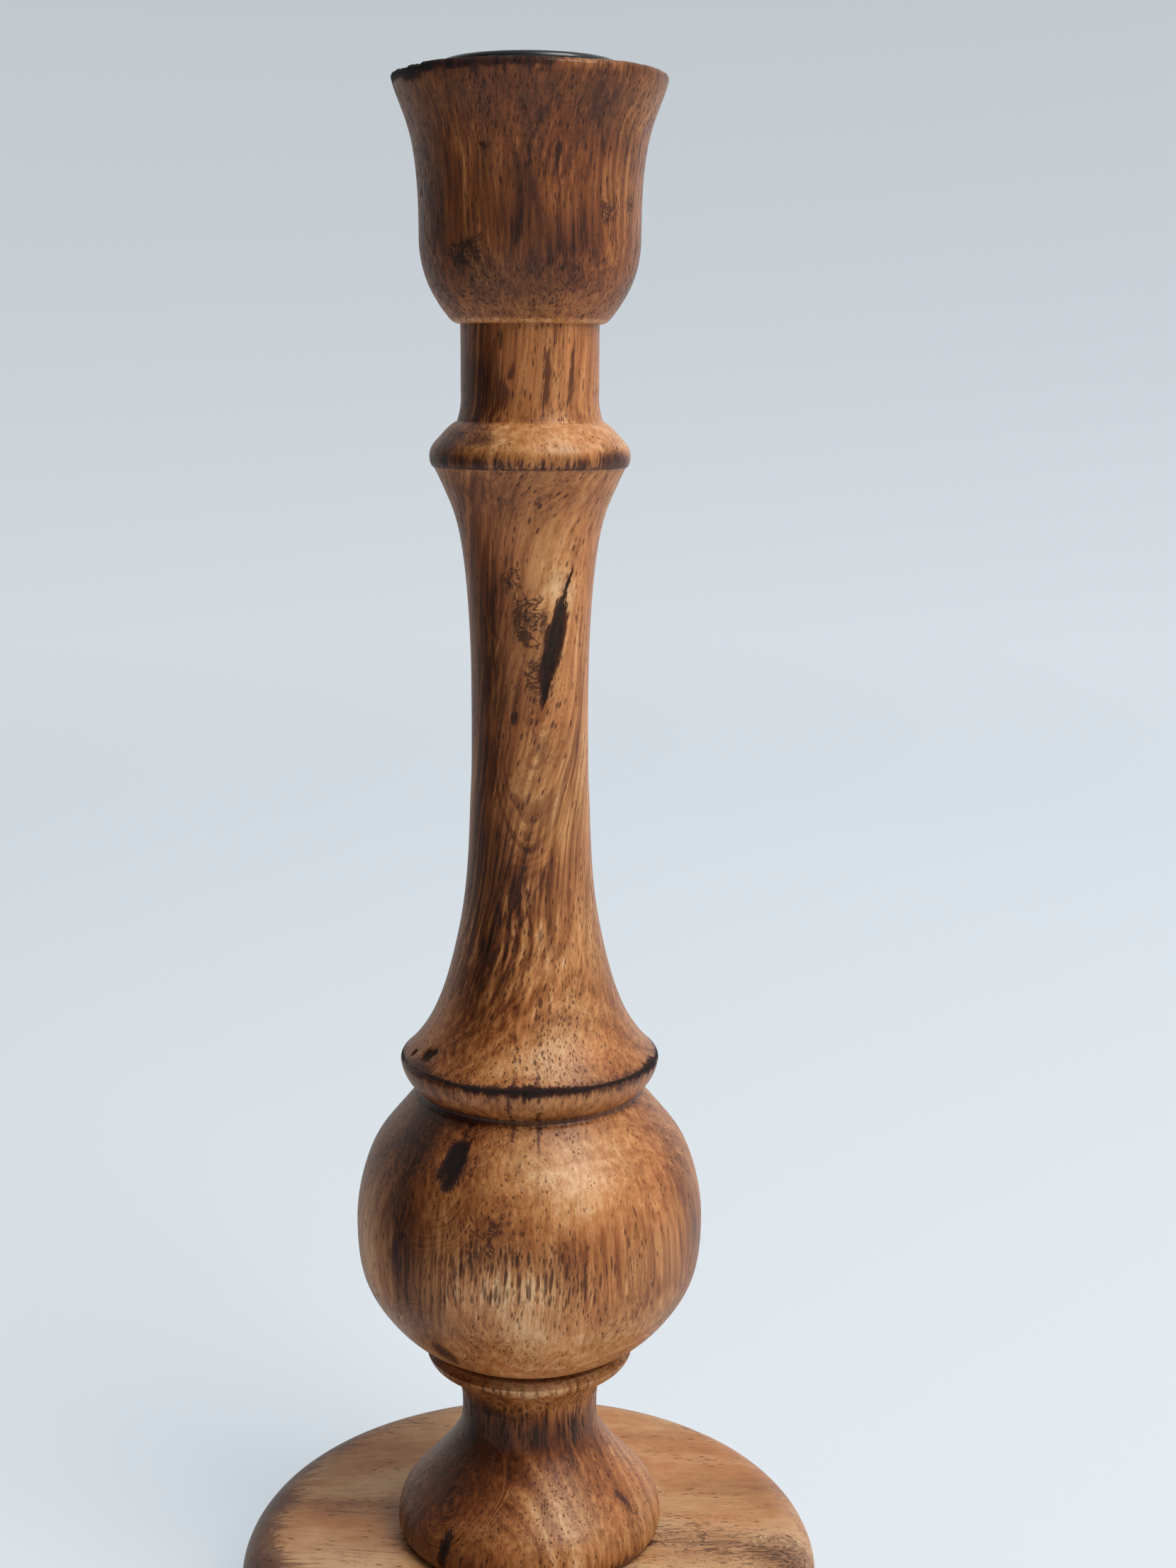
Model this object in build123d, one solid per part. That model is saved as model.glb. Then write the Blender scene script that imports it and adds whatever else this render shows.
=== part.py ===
from build123d import *
import os
from math import sqrt

os.makedirs("parts", exist_ok=True)

# A turned wooden candlestick for one taper candle, about a third of a metre tall.
# Millimetres. +Z is the turning axis and points up. The origin is the middle of the
# underside, on the surface that the candlestick stands on.

# Felt pad under the base
FELT_THICKNESS = 1.5
FELT_RADIUS = 54.0
FELT_RECESS = 0.9

# Base disc
BASE_RADIUS = 64.5
BASE_TOP = 22.0
BASE_TOP_ROUND = 9.4
BASE_BOTTOM_ROUND = 6.0

# A turned outline is drawn in (radius, height). A bend lists the points that a curve
# passes through on its way, and a way is the direction that it leaves or arrives in.
UPWARD = (0, 1)

# Round spigot under the foot, and the recess for it in the base
SPIGOT_RADIUS = 12.0
SPIGOT_LENGTH = 6.0
SPIGOT_CLEARANCE = 0.05
SPIGOT_END_GAP = 0.3

# Screw and washer that pull the foot down onto the base
COUNTERBORE_RADIUS = 10.0
COUNTERBORE_TOP = 9.0
WASHER_RADIUS = 8.0
WASHER_THICKNESS = 1.2
SCREW_LENGTH = 35.0
SCREW_RADIUS = 2.25
SCREW_CORE_RADIUS = 1.55
SCREW_HOLE_RADIUS = 2.4
SCREW_PLAIN_LENGTH = 9.0
SCREW_PITCH = 2.0
SCREW_CREST_HALF = 0.6
SCREW_TURNS = 11
SCREW_HEAD_RADIUS = 4.6
SCREW_HEAD_HEIGHT = 3.0
SCREW_DOME_HEIGHT = 1.8
CROSS_LENGTH = 4.6
CROSS_WIDTH = 1.1
CROSS_DEPTH = 1.9

# Foot: bell, waist and collar
FOOT_CONTACT_RADIUS = 27.4
BELL_UNDER_BEND = (28.85, 23.4)
BELL_RADIUS = 29.4
BELL_HEIGHT = 25.4
BELL_BENDS = ((25.1, 34.5), (20.9, 39.0), (16.6, 44.8))
WAIST_RADIUS = 14.95
WAIST_HEIGHT = 51.8
COVE_BENDS = ((15.9, 57.8),)
COVE_END = (19.5, 61.9)
COVE_END_WAY = (1, 0.7)
COLLAR_LOWER = (20.2, 62.2)
COLLAR_BEND = (22.0, 63.6)
COLLAR_RADIUS = 22.7
COLLAR_CHAMFER_WIDTH = 1.8
COLLAR_CHAMFER_HEIGHT = 1.0
FOOT_TOP = 66.2

# Stem: slightly flattened ball, flange and long shaft
BALL_END_RADIUS = 18.8
BALL_END_WAY = (1, 0.5)
BALL_LOWER_BENDS = ((26.6, 70.75), (33.4, 78.4))
BALL_RADIUS = 37.6
BALL_CENTRE = 96.3
BALL_UPPER_BENDS = ((36.1, 106.6), (32.9, 114.4), (28.5, 120.0))
BALL_TOP_WAY = (-1, 1)
GROOVE_RADIUS = 24.6
GROOVE_HEIGHT = 124.5
GROOVE_WIDTH = 2.0
GROOVE_BEND = (23.9, 125.4)
FLANGE_UNDER_BEND = (26.95, 129.5)
FLANGE_RADIUS = 27.8
FLANGE_HEIGHT = 132.4
FLANGE_EDGE_BEND = (27.5, 133.3)
FLANGE_EDGE_END = (26.8, 134.0)
LOWER_FLARE_WAY = (-1, 0.95)
LOWER_FLARE_BENDS = ((20.9, 142.0), (16.2, 156.0), (13.5, 172.0), (12.55, 190.0))
SHAFT_RADIUS = 12.25
SHAFT_HEIGHT = 210.0
UPPER_FLARE_BENDS = ((12.65, 226.5), (13.8, 240.0), (16.05, 250.0), (17.95, 254.4))
UPPER_FLARE_WAY = (0.6, 1)
STEM_TOP_RADIUS = 19.75
STEM_TOP = 258.2

# Neck: bead below, plain neck above
BEAD_LOWER_RADIUS = 20.0
BEAD_LOWER_BEND = (20.45, 259.16)
BEAD_RADIUS = 20.6
BEAD_HEIGHT = 260.2
BEAD_BENDS = ((18.55, 264.1),)
BEAD_SHOULDER = (14.9, 267.3)
BEAD_SHOULDER_WAY = (-1, 0.45)
NECK_BEND = (14.3, 269.6)
NECK_RADIUS = 14.1
NECK_STRAIGHT_FROM = 273.3
NECK_TOP = 286.6

# Cup
CUP_FOOT_RADIUS = 14.3
CUP_HEEL_BEND = (15.35, 286.9)
CUP_HEEL = (16.2, 287.6)
CUP_HEEL_WAY = (0.85, 1)
CUP_BOWL_BENDS = ((20.1, 293.4),)
CUP_BODY_RADIUS = 22.35
CUP_BODY_HEIGHT = 303.5
CUP_FLARE_BENDS = ((22.75, 315.5), (24.5, 325.2), (26.2, 329.8))
CUP_RIM_RADIUS = 27.5
CUP_RIM_HEIGHT = 333.8
CUP_RIM_WAY = (0.22, 1)
CUP_LIP_BEND = (27.3, 334.65)
CUP_LIP_WIDTH = 1.0
CUP_TOP = 335.0

# Candle insert, and the pocket that it drops into
SOCKET_RADIUS = 11.2
INSERT_WALL = 0.8
INSERT_FLOOR = 311.0
INSERT_SEAT_GAP = 0.1
INSERT_LIP_RADIUS = 17.7
INSERT_LIP_HEIGHT = 2.1
INSERT_ROLL_TAIL = 2.2
INSERT_ROLL_TAIL_RISE = 0.75
INSERT_MOUTH_ROUND = 1.4
INSERT_BOTTOM_CHAMFER = 1.0
INSERT_FLOOR_CHAMFER = 0.6
POCKET_CLEARANCE = 0.35

# Fluted dowels
FOOT_DOWEL_RADIUS = 6.0
FOOT_DOWEL_BOTTOM = 46.0
FOOT_DOWEL_TOP = 88.0
NECK_DOWEL_RADIUS = 5.0
NECK_DOWEL_BOTTOM = 240.0
NECK_DOWEL_TOP = 302.0
DOWEL_CHAMFER = 1.0
DOWEL_END_GAP = 1.0
FLUTE_COUNT = 12
FLUTE_RADIUS = 0.45


def at(radius, height):
    """A point of a turned outline, in the XZ plane."""
    return Vector(radius, 0, height)


def arc(start, bend, end):
    """A circular edge from one point of an outline through a second to a third."""
    return ThreePointArc(at(*start), at(*bend), at(*end))


def curve(start, bends, end, leaving, arriving):
    """A smooth edge through the bends, with its direction given at both ends."""
    points = [at(*point) for point in (start, *bends, end)]
    return Spline(*points, tangents=(at(*leaving), at(*arriving)))


def turned(edges):
    """The solid that a closed outline makes when it is spun about the turning axis."""
    return revolve(make_face(edges), Axis.Z)


def straight(*points):
    """Straight edges from each point of an outline to the next."""
    return [Line(at(*start), at(*end)) for start, end in zip(points, points[1:])]


def rod(radius, bottom, top):
    """A plain rod on the turning axis, also used to cut a round hole."""
    return Pos(0, 0, (bottom + top) / 2) * Cylinder(radius, top - bottom)


def felt_pad():
    """Thin round pad glued into a shallow recess in the underside of the base."""
    return rod(FELT_RADIUS, 0, FELT_THICKNESS)


def base_disc():
    """Thick disc with a well rounded edge, its underside just clear of the table."""
    bottom = FELT_THICKNESS - FELT_RECESS
    disc = rod(BASE_RADIUS, bottom, BASE_TOP)
    disc = fillet(disc.edges().group_by(Axis.Z)[-1], BASE_TOP_ROUND)
    disc = fillet(disc.edges().group_by(Axis.Z)[0], BASE_BOTTOM_ROUND)
    disc -= rod(FELT_RADIUS, bottom, FELT_THICKNESS)
    disc -= rod(COUNTERBORE_RADIUS, bottom, COUNTERBORE_TOP)
    disc -= rod(SCREW_HOLE_RADIUS, bottom, BASE_TOP)
    disc -= rod(SPIGOT_RADIUS + SPIGOT_CLEARANCE, BASE_TOP - SPIGOT_LENGTH, BASE_TOP)
    return disc


def base_washer():
    """Flat washer between the screw head and the roof of the counterbore."""
    washer = rod(WASHER_RADIUS, COUNTERBORE_TOP - WASHER_THICKNESS, COUNTERBORE_TOP)
    return washer - rod(SCREW_HOLE_RADIUS, COUNTERBORE_TOP - WASHER_THICKNESS, COUNTERBORE_TOP)


def screw_thread(bottom):
    """Corners of the thread's outline, which is drawn as rings instead of a helix."""
    corners = []
    for turn in range(SCREW_TURNS):
        crest = bottom + (turn + 0.5) * SCREW_PITCH
        corners.append((SCREW_CORE_RADIUS, crest - SCREW_CREST_HALF))
        corners.append((SCREW_RADIUS, crest))
        corners.append((SCREW_CORE_RADIUS, crest + SCREW_CREST_HALF))
    corners.append((SCREW_CORE_RADIUS, bottom + SCREW_TURNS * SCREW_PITCH))
    return corners


def base_screw():
    """Pan-head wood screw with a cross recess, driven up into the foot."""
    seat = COUNTERBORE_TOP - WASHER_THICKNESS
    head_bottom = seat - SCREW_HEAD_HEIGHT
    dome_radius = (SCREW_HEAD_RADIUS**2 + SCREW_DOME_HEIGHT**2) / (2 * SCREW_DOME_HEIGHT)
    half_rise = dome_radius - sqrt(dome_radius**2 - (SCREW_HEAD_RADIUS / 2) ** 2)
    dome_edge = (SCREW_HEAD_RADIUS, head_bottom + SCREW_DOME_HEIGHT)
    dome = arc((0, head_bottom), (SCREW_HEAD_RADIUS / 2, head_bottom + half_rise), dome_edge)
    sides = straight(
        dome_edge,
        (SCREW_HEAD_RADIUS, seat),
        (SCREW_CORE_RADIUS, seat),
        *screw_thread(seat + SCREW_PLAIN_LENGTH),
        (0, seat + SCREW_LENGTH),
        (0, head_bottom),
    )
    screw = turned([dome] + sides)
    for length, width in ((CROSS_LENGTH, CROSS_WIDTH), (CROSS_WIDTH, CROSS_LENGTH)):
        screw -= Pos(0, 0, head_bottom + CROSS_DEPTH / 2) * Box(length, width, CROSS_DEPTH)
    return screw


def foot():
    """Bell that narrows to a waist and opens into the collar under the ball."""
    spigot_bottom = BASE_TOP - SPIGOT_LENGTH + SPIGOT_END_GAP
    contact = (FOOT_CONTACT_RADIUS, BASE_TOP)
    belly = (BELL_RADIUS, BELL_HEIGHT)
    waist = (WAIST_RADIUS, WAIST_HEIGHT)
    collar_edge = (COLLAR_RADIUS, FOOT_TOP - COLLAR_CHAMFER_HEIGHT)
    outline = straight(
        (0, FOOT_TOP),
        (0, spigot_bottom),
        (SPIGOT_RADIUS, spigot_bottom),
        (SPIGOT_RADIUS, BASE_TOP),
        contact,
    )
    outline.append(arc(contact, BELL_UNDER_BEND, belly))
    outline.append(curve(belly, BELL_BENDS, waist, UPWARD, UPWARD))
    outline.append(curve(waist, COVE_BENDS, COVE_END, UPWARD, COVE_END_WAY))
    outline += straight(COVE_END, COLLAR_LOWER)
    outline.append(arc(COLLAR_LOWER, COLLAR_BEND, collar_edge))
    outline += straight(
        collar_edge,
        (COLLAR_RADIUS - COLLAR_CHAMFER_WIDTH, FOOT_TOP),
        (0, FOOT_TOP),
    )
    body = turned(outline)
    body -= rod(FOOT_DOWEL_RADIUS, FOOT_DOWEL_BOTTOM - DOWEL_END_GAP, FOOT_TOP)
    pilot_top = COUNTERBORE_TOP - WASHER_THICKNESS + SCREW_LENGTH + DOWEL_END_GAP
    body -= rod(SCREW_CORE_RADIUS, spigot_bottom, pilot_top)
    return body


def stem():
    """One long piece: the ball, the flange above it and the shaft that flares to its top."""
    ball_end = (BALL_END_RADIUS, FOOT_TOP)
    ball_middle = (BALL_RADIUS, BALL_CENTRE)
    groove_low = (GROOVE_RADIUS, GROOVE_HEIGHT)
    groove_high = (GROOVE_RADIUS, GROOVE_HEIGHT + GROOVE_WIDTH)
    flange = (FLANGE_RADIUS, FLANGE_HEIGHT)
    slimmest = (SHAFT_RADIUS, SHAFT_HEIGHT)
    top = (STEM_TOP_RADIUS, STEM_TOP)
    outline = straight((0, STEM_TOP), (0, FOOT_TOP), ball_end)
    outline.append(curve(ball_end, BALL_LOWER_BENDS, ball_middle, BALL_END_WAY, UPWARD))
    outline.append(curve(ball_middle, BALL_UPPER_BENDS, groove_low, UPWARD, BALL_TOP_WAY))
    outline.append(arc(groove_low, GROOVE_BEND, groove_high))
    outline.append(arc(groove_high, FLANGE_UNDER_BEND, flange))
    outline.append(arc(flange, FLANGE_EDGE_BEND, FLANGE_EDGE_END))
    outline.append(curve(FLANGE_EDGE_END, LOWER_FLARE_BENDS, slimmest, LOWER_FLARE_WAY, UPWARD))
    outline.append(curve(slimmest, UPPER_FLARE_BENDS, top, UPWARD, UPPER_FLARE_WAY))
    outline += straight(top, (0, STEM_TOP))
    body = turned(outline)
    body -= rod(FOOT_DOWEL_RADIUS, FOOT_TOP, FOOT_DOWEL_TOP + DOWEL_END_GAP)
    body -= rod(NECK_DOWEL_RADIUS, NECK_DOWEL_BOTTOM - DOWEL_END_GAP, STEM_TOP)
    return body


def neck():
    """Short piece between the shaft and the cup: a bead below and a plain neck above."""
    bead_low = (BEAD_LOWER_RADIUS, STEM_TOP)
    bead = (BEAD_RADIUS, BEAD_HEIGHT)
    neck_low = (NECK_RADIUS, NECK_STRAIGHT_FROM)
    outline = straight((0, NECK_TOP), (0, STEM_TOP), bead_low)
    outline.append(arc(bead_low, BEAD_LOWER_BEND, bead))
    outline.append(curve(bead, BEAD_BENDS, BEAD_SHOULDER, UPWARD, BEAD_SHOULDER_WAY))
    outline.append(arc(BEAD_SHOULDER, NECK_BEND, neck_low))
    outline += straight(neck_low, (NECK_RADIUS, NECK_TOP), (0, NECK_TOP))
    return turned(outline) - rod(NECK_DOWEL_RADIUS, STEM_TOP, NECK_TOP)


def cup():
    """Wooden head: a rounded heel, a nearly straight body and a rim that flares out."""
    cup_foot = (CUP_FOOT_RADIUS, NECK_TOP)
    waist = (CUP_BODY_RADIUS, CUP_BODY_HEIGHT)
    rim = (CUP_RIM_RADIUS, CUP_RIM_HEIGHT)
    lip = (CUP_RIM_RADIUS - CUP_LIP_WIDTH, CUP_TOP)
    outline = straight((0, CUP_TOP), (0, NECK_TOP), cup_foot)
    outline.append(arc(cup_foot, CUP_HEEL_BEND, CUP_HEEL))
    outline.append(curve(CUP_HEEL, CUP_BOWL_BENDS, waist, CUP_HEEL_WAY, UPWARD))
    outline.append(curve(waist, CUP_FLARE_BENDS, rim, UPWARD, CUP_RIM_WAY))
    outline.append(arc(rim, CUP_LIP_BEND, lip))
    outline += straight(lip, (0, CUP_TOP))
    pocket_radius = SOCKET_RADIUS + INSERT_WALL + POCKET_CLEARANCE
    pocket_floor = INSERT_FLOOR - INSERT_WALL - POCKET_CLEARANCE
    body = turned(outline)
    body -= rod(pocket_radius, pocket_floor, CUP_TOP)
    body -= rod(NECK_DOWEL_RADIUS, NECK_TOP, NECK_DOWEL_TOP + DOWEL_END_GAP)
    return body


def insert_lip(seat, brim):
    """Edges of the rolled lip, from its seat outwards, over the top and down to the mouth."""
    roll = INSERT_LIP_HEIGHT / 2
    middle = INSERT_LIP_RADIUS - roll
    under = (middle, seat)
    over = (middle, seat + INSERT_LIP_HEIGHT)
    tail_bend = (middle - INSERT_ROLL_TAIL / 2, brim + INSERT_ROLL_TAIL_RISE)
    tail = (middle - INSERT_ROLL_TAIL, brim)
    outer_roll = arc(under, (INSERT_LIP_RADIUS, seat + roll), over)
    return [outer_roll, arc(over, tail_bend, tail)], under, tail


def candle_insert():
    """Pressed steel socket with a rolled lip that rests on the rim of the wooden cup."""
    seat = CUP_TOP + INSERT_SEAT_GAP
    brim = seat + INSERT_WALL
    outside = SOCKET_RADIUS + INSERT_WALL
    underside = INSERT_FLOOR - INSERT_WALL
    lip, lip_under, lip_tail = insert_lip(seat, brim)
    mouth_top = (SOCKET_RADIUS + INSERT_MOUTH_ROUND, brim)
    mouth_low = (SOCKET_RADIUS, brim - INSERT_MOUTH_ROUND)
    cut = INSERT_MOUTH_ROUND * (1 - sqrt(0.5))
    outline = straight(
        (0, INSERT_FLOOR),
        (0, underside),
        (outside - INSERT_BOTTOM_CHAMFER, underside),
        (outside, underside + INSERT_BOTTOM_CHAMFER),
        (outside, seat),
        lip_under,
    )
    outline += lip
    outline += straight(lip_tail, mouth_top)
    outline.append(arc(mouth_top, (SOCKET_RADIUS + cut, brim - cut), mouth_low))
    outline += straight(
        mouth_low,
        (SOCKET_RADIUS, INSERT_FLOOR + INSERT_FLOOR_CHAMFER),
        (SOCKET_RADIUS - INSERT_FLOOR_CHAMFER, INSERT_FLOOR),
        (0, INSERT_FLOOR),
    )
    return turned(outline)


def fluted_dowel(radius, bottom, top):
    """Hardwood dowel with chamfered ends and glue flutes down its side."""
    dowel = chamfer(rod(radius, bottom, top).edges(), DOWEL_CHAMFER)
    flute = Pos(radius, 0, (bottom + top) / 2) * Cylinder(FLUTE_RADIUS, top - bottom)
    for number in range(FLUTE_COUNT):
        dowel -= Rot(0, 0, number * 360 / FLUTE_COUNT) * flute
    return dowel


NODES = {
    "base_felt_pad": felt_pad(),
    "base_disc": base_disc(),
    "base_washer": base_washer(),
    "base_screw": base_screw(),
    "foot": foot(),
    "foot_dowel": fluted_dowel(FOOT_DOWEL_RADIUS, FOOT_DOWEL_BOTTOM, FOOT_DOWEL_TOP),
    "stem": stem(),
    "neck_dowel": fluted_dowel(NECK_DOWEL_RADIUS, NECK_DOWEL_BOTTOM, NECK_DOWEL_TOP),
    "neck": neck(),
    "cup": cup(),
    "candle_insert": candle_insert(),
}

for node, shape in NODES.items():
    export_step(shape, f"parts/{node}.step")
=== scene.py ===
import math

import bmesh
import bpy
import numpy as np
from mathutils import Matrix, Vector


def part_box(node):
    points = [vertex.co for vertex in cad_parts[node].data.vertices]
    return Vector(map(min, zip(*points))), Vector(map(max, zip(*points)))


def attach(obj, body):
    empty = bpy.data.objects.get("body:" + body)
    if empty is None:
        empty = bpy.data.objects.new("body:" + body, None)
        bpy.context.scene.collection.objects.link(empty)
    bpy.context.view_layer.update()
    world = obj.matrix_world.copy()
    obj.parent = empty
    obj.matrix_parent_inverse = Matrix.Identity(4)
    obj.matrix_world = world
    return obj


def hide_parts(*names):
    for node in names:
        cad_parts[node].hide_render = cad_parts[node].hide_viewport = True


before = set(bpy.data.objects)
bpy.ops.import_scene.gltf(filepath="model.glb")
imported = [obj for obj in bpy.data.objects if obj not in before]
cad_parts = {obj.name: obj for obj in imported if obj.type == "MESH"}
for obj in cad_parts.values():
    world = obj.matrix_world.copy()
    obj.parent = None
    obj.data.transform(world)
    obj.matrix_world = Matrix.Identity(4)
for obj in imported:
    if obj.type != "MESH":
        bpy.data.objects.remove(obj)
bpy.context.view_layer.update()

MM = 0.001

# -------- heights on the piece, in millimetres
# They come from the frame, so that the marks stay on the turning they belong to.


def span(node):
    """The lowest and highest point of a CAD node, in millimetres."""
    low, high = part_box(node)
    return low[2] / MM, high[2] / MM


BASE_HIGH = span("base_disc")[1]
STEM_LOW, STEM_HIGH = span("stem")
NECK_LOW, NECK_HIGH = span("neck")
CUP_LOW, CUP_HIGH = span("cup")
FOOT_TOP = STEM_LOW

SCORCH_HEIGHT = STEM_LOW + 67.3  # the burnt line round the flange
GROOVE_HEIGHT = STEM_LOW + 59.3  # between the ball and the flange


# -------- repeatable noise for shapes and stains

def lattice(x, y, z, seed):
    """A repeatable value from 0 to 1 for each point with whole-number coordinates."""
    h = (x * 73856093) ^ (y * 19349663) ^ (z * 83492791) ^ (seed * 40503001)
    h = ((h & 0x7FFFFFFF) ^ ((h & 0x7FFFFFFF) >> 13)) * 1274126177 & 0x7FFFFFFF
    h = (h ^ (h >> 15)) * 668265263 & 0x7FFFFFFF
    return ((h >> 7) & 0xFFFFF) / 0xFFFFF


def noise(points, seed):
    """Smooth noise from -1 to 1, with one feature per unit of the points' coordinates."""
    cell = np.floor(points).astype(np.int64)
    part = points - cell
    part = part * part * (3.0 - 2.0 * part)
    total = np.zeros(len(points))
    for dx in (0, 1):
        wx = part[:, 0] if dx else 1.0 - part[:, 0]
        for dy in (0, 1):
            wy = part[:, 1] if dy else 1.0 - part[:, 1]
            for dz in (0, 1):
                wz = part[:, 2] if dz else 1.0 - part[:, 2]
                total += wx * wy * wz * lattice(cell[:, 0] + dx, cell[:, 1] + dy, cell[:, 2] + dz, seed)
    return 2.0 * total - 1.0


def rough_noise(points, seed, octaves=3):
    """Noise with finer and fainter layers added."""
    total = np.zeros(len(points))
    for k in range(octaves):
        total += noise(points * 2.0 ** k, seed + k) * 0.5 ** k
    return total / (2.0 - 0.5 ** (octaves - 1))


def smooth(low, high, value):
    """0 below low, 1 above high, and a smooth step between them."""
    t = np.clip((value - low) / (high - low), 0.0, 1.0)
    return t * t * (3.0 - 2.0 * t)


def bell(value, middle, width):
    """1 at the middle, fading to nothing about twice as far out as width."""
    return np.exp(-((value - middle) / width) ** 2)


# -------- turned shapes from the CAD outline

CORNER = math.cos(math.radians(26.0))  # a sharper bend than this is an edge of the turning
UNEVEN_LEGS = 3.0  # a leg this much longer than its neighbour sets the tangent alone
ON_AXIS = 1e-4


def section(node):
    """The node's outline in the plane y = 0, x >= 0, as an ordered list of (radius, height) in mm."""
    bm = bmesh.new()
    bm.from_mesh(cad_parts[node].data)
    bmesh.ops.remove_doubles(bm, verts=bm.verts, dist=1e-6)

    def sliced(normal, **settings):
        everything = bm.verts[:] + bm.edges[:] + bm.faces[:]
        return bmesh.ops.bisect_plane(bm, geom=everything, dist=1e-7, plane_no=normal, **settings)["geom_cut"]

    sliced((1, 0, 0), clear_inner=True)
    cut = sliced((0, 1, 0))
    links = {}
    for edge in cut:
        if isinstance(edge, bmesh.types.BMEdge):
            a, b = edge.verts
            links.setdefault(a, set()).add(b)
            links.setdefault(b, set()).add(a)
    ends = [v for v in links if len(links[v]) == 1]
    first = min(ends or links, key=lambda v: (v.co.z, v.co.x))
    order, seen = [first], {first}
    while True:
        onward = [v for v in links[order[-1]] if v not in seen]
        if not onward:
            break
        onward.sort(key=lambda v: (v.co.z, -v.co.x))
        order.append(onward[0])
        seen.add(onward[0])
    points = [(max(v.co.x, 0.0) / MM, v.co.z / MM) for v in order]
    bm.free()
    return np.array(points), not ends


def drop_straight(points, closed):
    """The outline without the points that lie on a straight run."""
    kept = []
    n = len(points)
    for i in range(n):
        if not closed and i in (0, n - 1):
            kept.append(points[i])
            continue
        a, b, c = points[i - 1], points[i], points[(i + 1) % n]
        u, v = b - a, c - b
        lu, lv = np.hypot(*u), np.hypot(*v)
        if lu < 1e-6:
            continue
        bent = abs(u[0] * v[1] - u[1] * v[0]) > 1e-5 * lu * max(lv, 1e-9)
        if bent or u @ v < 0:
            kept.append(b)
    return np.array(kept)


def tangents(lengths, ways, closed):
    """Whether each point is a corner, and the outline's direction just before and just after it."""
    n = len(ways) + 1
    sharp = np.zeros(n, bool)
    before, after = np.zeros((n, 2)), np.zeros((n, 2))
    for i in range(n):
        j, k = (i - 1) % (n - 1), i % (n - 1)
        if not closed and i in (0, n - 1):
            sharp[i] = True
            before[i] = after[i] = ways[0 if i == 0 else n - 2]
            continue
        if ways[j] @ ways[k] < CORNER:
            sharp[i] = True
            before[i], after[i] = ways[j], ways[k]
            continue
        if lengths[j] > UNEVEN_LEGS * lengths[k]:
            tangent = ways[j]
        elif lengths[k] > UNEVEN_LEGS * lengths[j]:
            tangent = ways[k]
        else:
            tangent = ways[j] * lengths[k] + ways[k] * lengths[j]
        before[i] = after[i] = tangent / np.hypot(*tangent)
    return sharp, before, after


def between(a, b, leaving, arriving, t):
    """A point on the smooth curve that sets off from a and arrives at b with the given tangents."""
    near = (2 * t ** 3 - 3 * t ** 2 + 1) * a + (t ** 3 - 2 * t ** 2 + t) * leaving
    return near + (3 * t ** 2 - 2 * t ** 3) * b + (t ** 3 - t ** 2) * arriving


def outline(node, fine, core):
    """Rows of the turned surface: radius, height, and whether the row is a sharp corner.

    The rows are fine mm apart, except nearer the axis than core, where nothing shows."""
    points, closed = section(node)
    points = drop_straight(points, closed)
    if closed:
        points = np.vstack([points, points[:1]])
    x, z = points.T
    if np.sum(x * np.roll(z, -1) - np.roll(x, -1) * z) < 0:
        points = points[::-1]
    legs = np.diff(points, axis=0)
    lengths = np.hypot(legs[:, 0], legs[:, 1])
    sharp, before, after = tangents(lengths, legs / lengths[:, None], closed)
    rows = []
    for i, length in enumerate(lengths):
        a, b = points[i], points[i + 1]
        shown = max(a[0], b[0]) > core
        count = max(1, math.ceil(length / fine)) if shown else 1
        for k in range(count):
            radius, height = between(a, b, after[i] * length, before[i + 1] * length, k / count)
            rows.append((max(radius, 0.0), height, bool(sharp[i]) and k == 0))
    if not closed:
        rows.append((*points[-1], True))
    return rows, closed


def strips(rows, starts, columns, closed):
    """The faces between each row of points and the next."""
    faces = []
    around = [(c, (c + 1) % columns) for c in range(columns)]
    for i in range(len(rows) if closed else len(rows) - 1):
        j = (i + 1) % len(rows)
        a, b = starts[i], starts[j]
        if rows[i][0] < ON_AXIS:
            faces.extend((a, b + d, b + c) for c, d in around)
        elif rows[j][0] < ON_AXIS:
            faces.extend((a + c, a + d, b) for c, d in around)
        else:
            faces.extend((a + c, a + d, b + d, b + c) for c, d in around)
    return faces


def turned(node, name, fine, columns, core, shape):
    """A closed turned mesh on the node's own outline. shape gets its points and returns the moved ones."""
    rows, closed = outline(node, fine, core)
    angles = np.arange(columns) * (2.0 * math.pi / columns)
    starts, verts, row_of = [], [], []
    for i, (radius, height, _) in enumerate(rows):
        starts.append(len(row_of))
        if radius < ON_AXIS:
            verts.append(np.array([[0.0, 0.0, height]]))
            row_of.append(i)
            continue
        ring = np.stack([radius * np.sin(angles), -radius * np.cos(angles), np.full(columns, height)], -1)
        verts.append(ring)
        row_of.extend([i] * columns)
    verts = shape(np.vstack(verts))
    mesh = bpy.data.meshes.new(name)
    mesh.from_pydata((verts * MM).tolist(), [], strips(rows, starts, columns, closed))
    mesh.update(calc_edges=True)
    mesh.polygons.foreach_set("use_smooth", [True] * len(mesh.polygons))
    ends = np.zeros(len(mesh.edges) * 2, np.int64)
    mesh.edges.foreach_get("vertices", ends)
    ends = np.array(row_of)[ends.reshape(-1, 2)]
    corner = np.array([row[2] for row in rows])
    hard = (ends[:, 0] == ends[:, 1]) & corner[ends[:, 0]]
    mesh.attributes.new("sharp_edge", "BOOLEAN", "EDGE").data.foreach_set("value", hard.tolist())
    return linked(bpy.data.objects.new(name, mesh)), verts


def linked(thing):
    """Puts an object into the scene."""
    bpy.context.scene.collection.objects.link(thing)
    return thing


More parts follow.
